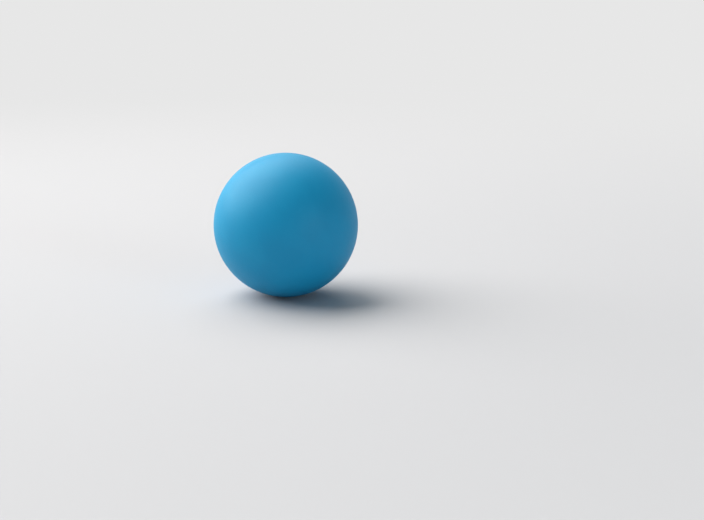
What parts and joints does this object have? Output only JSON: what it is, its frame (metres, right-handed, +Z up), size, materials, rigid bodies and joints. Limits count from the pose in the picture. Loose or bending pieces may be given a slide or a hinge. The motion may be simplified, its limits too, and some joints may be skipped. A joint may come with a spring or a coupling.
{
  "type": "rubber bouncy ball",
  "caption": "Hollow matte blue rubber ball for bouncing and hand play: bonded half shells with a lapped, cemented seam and a self-sealing inflation plug.",
  "frame": {"origin": "centre of the ball", "axes": "+Z up; the pole axis is Y, square to the seam plane; -Y is the front pole, and +Y the rear pole with the inflation plug"},
  "size_m": [0.063, 0.063, 0.063],
  "materials": {
    "shell_rubber": "fine matte, buffed",
    "cement_rubber": "cured, slightly glossy",
    "plug_gum": "raw gum, dull"
  },
  "bodies": {
    "root": {"front_half_shell": "shell_rubber", "rear_half_shell": "shell_rubber", "seam_cement": "cement_rubber", "inflation_plug": "plug_gum"}
  },
  "joints": []
}
